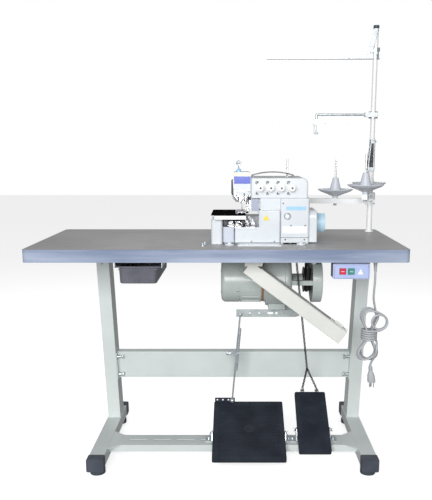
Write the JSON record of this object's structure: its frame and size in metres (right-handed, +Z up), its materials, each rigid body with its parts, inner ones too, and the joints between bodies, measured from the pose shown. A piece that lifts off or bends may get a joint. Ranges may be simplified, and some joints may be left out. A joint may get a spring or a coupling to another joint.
{
  "type": "serger overlock machine with table",
  "caption": "Overlock sewing machine on a steel stand table with clutch motor, treadles, waste chute, drawer, switch box, hanging mains cord and thread stand.",
  "frame": {"origin": "on the floor, under the middle of the machine's box", "axes": "+X to the operator's right, +Y away from the operator, +Z up"},
  "size_m": [1.2368, 0.6491, 1.489],
  "materials": {
    "laminate": "warm grey laminate",
    "edge_band": "blue grey edge band",
    "frame_paint": "pale powder coat",
    "charcoal": "charcoal caps and pads",
    "zinc": "zinc plated",
    "treadle_iron": "black enamel, ribbed",
    "motor_grey": "grey green enamel",
    "black_plastic": "black, fine grain",
    "black_rubber": "belt",
    "chain_steel": "dark steel links",
    "chute_white": "warm white sheet",
    "switch_lavender": "lavender",
    "button_red": "red",
    "button_green": "green",
    "cord_grey": "grey flex",
    "head_white": "white enamel",
    "cover_grey": "pale lavender grey",
    "plate_black": "black top, white lip",
    "steel": "polished steel",
    "dial_white": "white",
    "wheel_blue": "teal blue grey",
    "clear": "clear",
    "guard_cream": "pale cream",
    "pole_white": "white enamel",
    "spool_grey": "pale grey"
  },
  "bodies": {
    "frame": {"table_top": "laminate", "edge_band": "edge_band", "legs": "frame_paint", "foot_beams": "frame_paint", "feet_and_caps": "charcoal", "crossbeam": "frame_paint", "treadle_beam": "frame_paint", "bolts_and_clips": "zinc", "table_fittings": "zinc", "motor_bracket": "motor_grey", "motor_housing": "motor_grey", "clutch_housing": "motor_grey", "belt_guard": "motor_grey", "v_belt": "black_rubber", "waste_chute": "chute_white", "switch_box": "switch_lavender", "power_cord": "cord_grey", "cord_hank": "cord_grey", "power_plug": "cord_grey", "head_base": "head_white", "head_arm": "head_white", "top_cover": "head_white", "side_cover": "head_white", "front_guards": "cover_grey", "throat_plate": "steel", "belt_cover": "head_white", "oil_pan": "head_white", "thread_guides": "steel", "oil_sights": "clear", "stand_pole": "pole_white", "spool_rails": "pole_white", "spool_pins": "steel", "spool_seats": "spool_grey"},
    "drawer": {"drawer": "black_plastic"},
    "chute_end": {"waste_chute_end": "chute_white"},
    "main_treadle": {"main_treadle": "treadle_iron"},
    "pitman": {"pitman_rod": "zinc"},
    "clutch_lever": {"clutch_lever": "zinc"},
    "lift_treadle": {"lift_treadle": "treadle_iron"},
    "lift_chain": {"lift_chain": "chain_steel"},
    "lift_lever": {"lift_lever": "zinc"},
    "presser_foot": {"presser_foot": "steel"},
    "start_button": {"start_button": "button_green"},
    "stop_button": {"stop_button": "button_red"},
    "looper_cover": {"looper_cover": "head_white"},
    "cloth_plate": {"cloth_plate": "plate_black"},
    "dial_1": {"tension_dial_1": "dial_white"},
    "dial_2": {"tension_dial_2": "dial_white"},
    "dial_3": {"tension_dial_3": "dial_white"},
    "dial_4": {"tension_dial_4": "dial_white"},
    "handwheel": {"handwheel": "wheel_blue"},
    "motor_pulley": {"motor_pulley": "treadle_iron"},
    "needle_bar": {"needle_bar": "steel"},
    "upper_looper": {"upper_looper": "steel"},
    "lower_looper": {"lower_looper": "steel"},
    "feed_dog": {"feed_dog": "steel"},
    "upper_knife": {"upper_knife": "steel"},
    "eye_guard": {"eye_guard": "guard_cream"},
    "upper_guide": {"upper_guide": "pole_white"},
    "lower_guide": {"lower_guide": "pole_white"}
  },
  "joints": [
    {"name": "drawer_slide", "type": "slide", "parent": "frame", "child": "drawer", "axis": [0, -1, 0], "range_m": [0, 0.2]},
    {"name": "chute_extension", "type": "slide", "parent": "frame", "child": "chute_end", "axis": [0.8, 0, -0.6], "range_m": [0, 0.06]},
    {"name": "main_treadle_tilt", "type": "hinge", "parent": "frame", "child": "main_treadle", "pos_m": [0.0865, -0.167, 0.08913], "axis": [1, 0, 0], "range_deg": [-11, 0], "stiffness_Nm_per_rad": 20, "springref_deg": 8.59},
    {"name": "pitman_swing", "type": "hinge", "parent": "main_treadle", "child": "pitman", "pos_m": [0.028, -0.041, 0.16], "axis": [1, 0, 0], "range_deg": [0, 15]},
    {"name": "clutch_lever_tilt", "type": "hinge", "parent": "frame", "child": "clutch_lever", "pos_m": [0.252, -0.028, 0.482], "axis": [0, 1, 0], "range_deg": [-9, 0]},
    {"name": "lift_treadle_tilt", "type": "hinge", "parent": "frame", "child": "lift_treadle", "pos_m": [0.309, -0.167, 0.10124], "axis": [1, 0, 0], "range_deg": [-8, 0], "stiffness_Nm_per_rad": 12, "springref_deg": 11.46},
    {"name": "lift_chain_swing", "type": "hinge", "parent": "lift_treadle", "child": "lift_chain", "pos_m": [0.309, -0.028, 0.193], "axis": [1, 0, 0], "range_deg": [0, 10]},
    {"name": "lift_lever_tilt", "type": "hinge", "parent": "frame", "child": "lift_lever", "pos_m": [0.239, -0.073, 0.734], "axis": [1, 0, 0], "range_deg": [0, 17]},
    {"name": "presser_foot_lift", "type": "slide", "parent": "frame", "child": "presser_foot", "axis": [0, 0, 1], "range_m": [0, 0.007]},
    {"name": "start_button_press", "type": "slide", "parent": "frame", "child": "start_button", "axis": [0, 1, 0], "range_m": [0, 0.003], "stiffness_N_per_m": 400, "springref_m": -0.002},
    {"name": "stop_button_press", "type": "slide", "parent": "frame", "child": "stop_button", "axis": [0, 1, 0], "range_m": [0, 0.003], "stiffness_N_per_m": 400, "springref_m": -0.002},
    {"name": "looper_cover_hinge", "type": "hinge", "parent": "frame", "child": "looper_cover", "pos_m": [0.113, -0.177, 0.758], "axis": [1, 0, 0], "range_deg": [0, 70]},
    {"name": "cloth_plate_swing", "type": "hinge", "parent": "frame", "child": "cloth_plate", "pos_m": [-0.025, 0.012, 0.84], "axis": [0, 0, 1], "range_deg": [-85, 0]},
    {"name": "tension_dial_1_turn", "type": "hinge", "parent": "frame", "child": "dial_1", "pos_m": [0.122, -0.153, 0.931], "axis": [0, 1, 0], "range_deg": [-180, 180]},
    {"name": "tension_dial_2_turn", "type": "hinge", "parent": "frame", "child": "dial_2", "pos_m": [0.156, -0.153, 0.931], "axis": [0, 1, 0], "range_deg": [-180, 180]},
    {"name": "tension_dial_3_turn", "type": "hinge", "parent": "frame", "child": "dial_3", "pos_m": [0.19, -0.153, 0.931], "axis": [0, 1, 0], "range_deg": [-180, 180]},
    {"name": "tension_dial_4_turn", "type": "hinge", "parent": "frame", "child": "dial_4", "pos_m": [0.224, -0.153, 0.931], "axis": [0, 1, 0], "range_deg": [-180, 180]},
    {"name": "handwheel_spin", "type": "hinge", "parent": "frame", "child": "handwheel", "pos_m": [0.322, -0.088, 0.812], "axis": [1, 0, 0], "continuous": true},
    {"name": "motor_pulley_spin", "type": "hinge", "parent": "frame", "child": "motor_pulley", "pos_m": [0.29, -0.028, 0.605], "axis": [1, 0, 0], "continuous": true},
    {"name": "needle_bar_stroke", "type": "slide", "parent": "frame", "child": "needle_bar", "axis": [0, 0, 1], "range_m": [-0.024, 0]},
    {"name": "upper_looper_swing", "type": "hinge", "parent": "frame", "child": "upper_looper", "pos_m": [0.106, -0.088, 0.784], "axis": [0, 1, 0], "range_deg": [-12, 12]},
    {"name": "lower_looper_swing", "type": "hinge", "parent": "frame", "child": "lower_looper", "pos_m": [0.082, -0.088, 0.778], "axis": [0, 1, 0], "range_deg": [-12, 12]},
    {"name": "feed_dog_travel", "type": "slide", "parent": "frame", "child": "feed_dog", "axis": [0, 1, 0], "range_m": [-0.0018, 0.0018]},
    {"name": "upper_knife_stroke", "type": "slide", "parent": "frame", "child": "upper_knife", "axis": [0, 0, 1], "range_m": [0, 0.008]},
    {"name": "eye_guard_tilt", "type": "hinge", "parent": "frame", "child": "eye_guard", "pos_m": [0.031, -0.088, 0.91], "axis": [1, 0, 0], "range_deg": [-25, 25]},
    {"name": "upper_guide_swivel", "type": "hinge", "parent": "frame", "child": "upper_guide", "pos_m": [0.544, 0.177, 1.386], "axis": [0, 0, 1], "range_deg": [-60, 60]},
    {"name": "lower_guide_swivel", "type": "hinge", "parent": "frame", "child": "lower_guide", "pos_m": [0.544, 0.177, 1.178], "axis": [0, 0, 1], "range_deg": [-60, 60]}
  ],
  "couplings": [
    {"joint": "pitman_swing", "follows": "main_treadle_tilt", "ratio": -1.18},
    {"joint": "clutch_lever_tilt", "follows": "main_treadle_tilt", "ratio": 0.684},
    {"joint": "lift_chain_swing", "follows": "lift_treadle_tilt", "ratio": -1.14},
    {"joint": "lift_lever_tilt", "follows": "lift_treadle_tilt", "ratio": -1.96},
    {"joint": "presser_foot_lift", "follows": "lift_treadle_tilt", "m_per_rad": -0.043},
    {"joint": "motor_pulley_spin", "follows": "handwheel_spin", "ratio": 0.7073}
  ]
}
